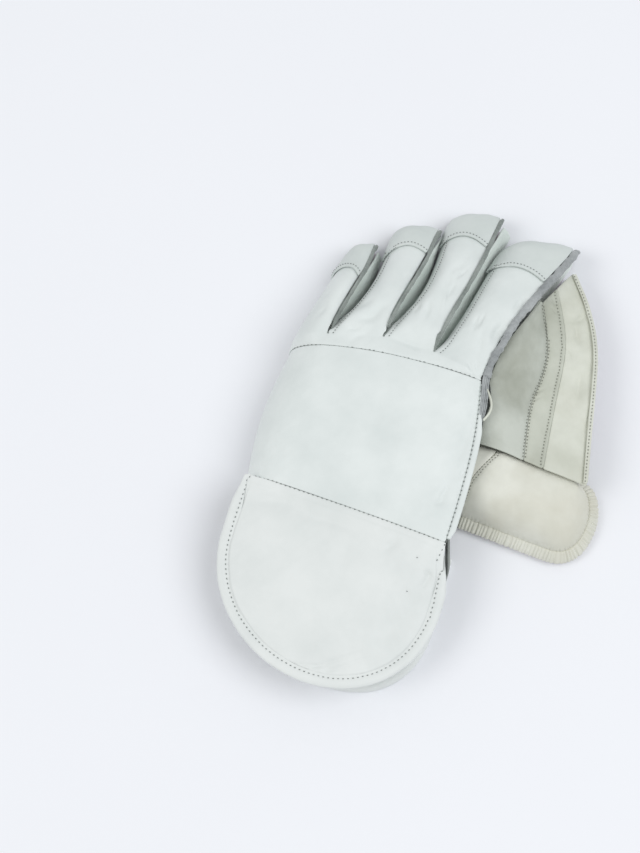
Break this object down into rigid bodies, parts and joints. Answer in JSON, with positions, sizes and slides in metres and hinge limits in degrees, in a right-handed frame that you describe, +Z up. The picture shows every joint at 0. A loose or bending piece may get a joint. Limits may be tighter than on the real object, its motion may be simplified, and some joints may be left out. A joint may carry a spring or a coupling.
{
  "type": "wicketkeeping glove",
  "caption": "Padded leather glove with webbed thumb, gusseted fingers, pimpled rubber palm and a round two-flap cuff, lying palm down.",
  "frame": {"origin": "middle of the footprint of the lying glove, on the surface it rests on", "axes": "+Y from the cuff to the fingertips, +X towards the thumb, +Z up through the back of the hand"},
  "size_m": [0.2286, 0.3432, 0.05],
  "materials": {
    "leather": "smooth white leather with a soft satin sheen",
    "web": "smooth warm white leather",
    "thumb": "smooth warm white leather",
    "gusset": "matt grey-green suede",
    "welt": "raw cut leather edges, matt grey",
    "side": "matt grey leather",
    "rubber": "pimpled rubber, lilac beige",
    "lining": "soft grey-olive leather"
  },
  "bodies": {
    "root": {"back_pad": "leather", "side_seam": "leather", "crotch_loop": "leather", "finger_leather": "leather", "tip_cap_little": "leather", "welt_little": "welt", "gusset_little": "gusset", "tip_cap_ring": "leather", "welt_ring": "welt", "gusset_ring": "gusset", "tip_cap_middle": "leather", "welt_middle": "welt", "gusset_middle": "gusset", "tip_cap_index": "leather", "welt_index": "welt", "gusset_index": "gusset", "hand_side": "side", "palm_sheet": "rubber", "palm_lining": "lining", "crotch_lace": "leather", "cuff_back": "leather", "cuff_back_binding": "leather", "cuff_palm": "leather", "cuff_palm_band": "leather", "cuff_palm_binding": "leather", "thumb_back": "thumb", "thumb_base": "thumb", "thumb_sheet": "rubber", "thumb_gather": "thumb", "web_inner_panel": "web", "web_strip": "web", "web_outer_panel": "web", "web_hem": "web", "web_sheet": "rubber"}
  },
  "joints": []
}
